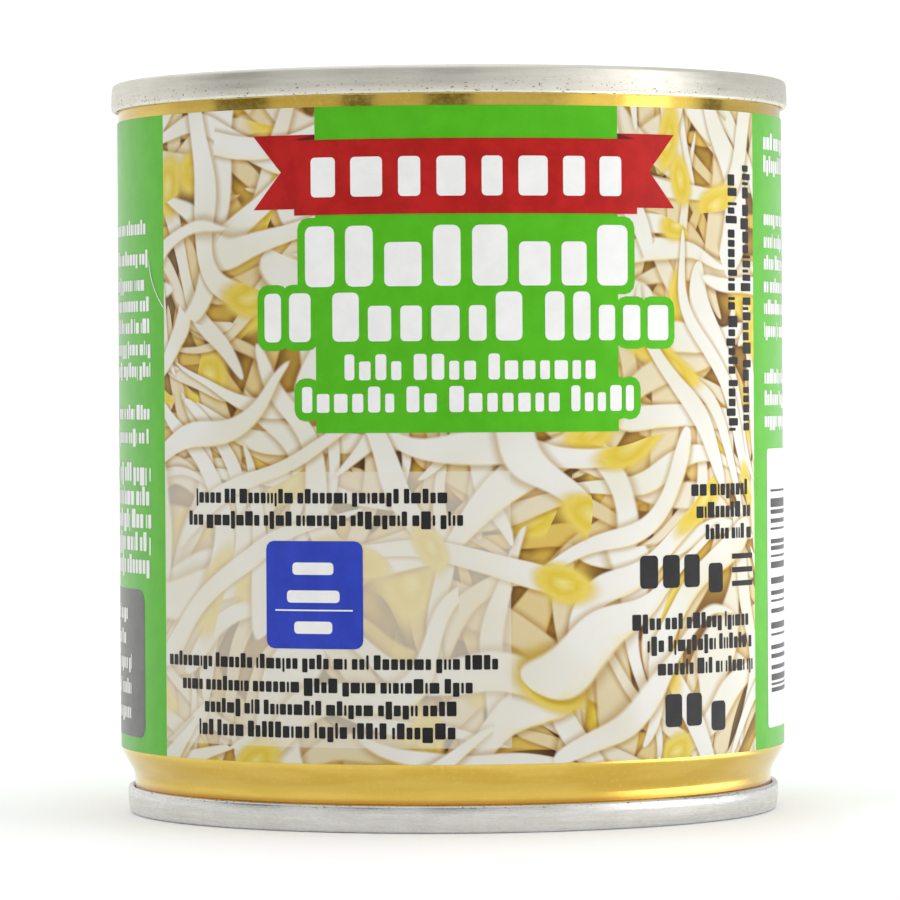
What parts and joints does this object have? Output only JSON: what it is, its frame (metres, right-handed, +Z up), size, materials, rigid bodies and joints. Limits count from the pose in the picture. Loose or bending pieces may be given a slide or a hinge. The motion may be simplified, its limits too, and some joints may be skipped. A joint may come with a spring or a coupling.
{
  "type": "food can",
  "caption": "Short necked steel food can with a paper label, a ring-pull end that lifts, and sprouts in brine sealed inside; stands on its bottom seam and stacks.",
  "frame": {"origin": "middle of the can's base, on the surface that it stands on", "axes": "+Z up along the can's axis; -Y is the label's front; the ring pull's nose points to +Y"},
  "size_m": [0.0666, 0.0666, 0.0714],
  "materials": {
    "gold_lacquer": "gloss",
    "tinplate": "satin",
    "tab_steel": "satin",
    "seal_compound": "matte",
    "label_paper": "gloss",
    "brine": "gloss",
    "sprout": "satin"
  },
  "bodies": {
    "can": {"can_body": "gold_lacquer", "top_end": "tinplate", "bottom_end": "tinplate", "top_seal": "seal_compound", "bottom_seal": "seal_compound", "label": "label_paper", "tab_tongue": "tab_steel", "brine": "brine", "sprout_01": "sprout", "sprout_02": "sprout", "sprout_03": "sprout", "sprout_04": "sprout", "sprout_05": "sprout", "sprout_06": "sprout", "sprout_07": "sprout", "sprout_08": "sprout", "sprout_09": "sprout", "sprout_10": "sprout", "sprout_11": "sprout", "sprout_12": "sprout", "sprout_13": "sprout", "sprout_14": "sprout", "sprout_15": "sprout", "sprout_16": "sprout", "sprout_17": "sprout", "sprout_18": "sprout", "sprout_19": "sprout", "sprout_20": "sprout", "sprout_21": "sprout"},
    "tab": {"pull_tab": "tab_steel"}
  },
  "joints": [
    {"name": "tab_lift", "type": "hinge", "parent": "can", "child": "tab", "pos_m": [0, 0.025, 0.067], "axis": [-1, 0, 0], "range_deg": [0, 90]}
  ]
}
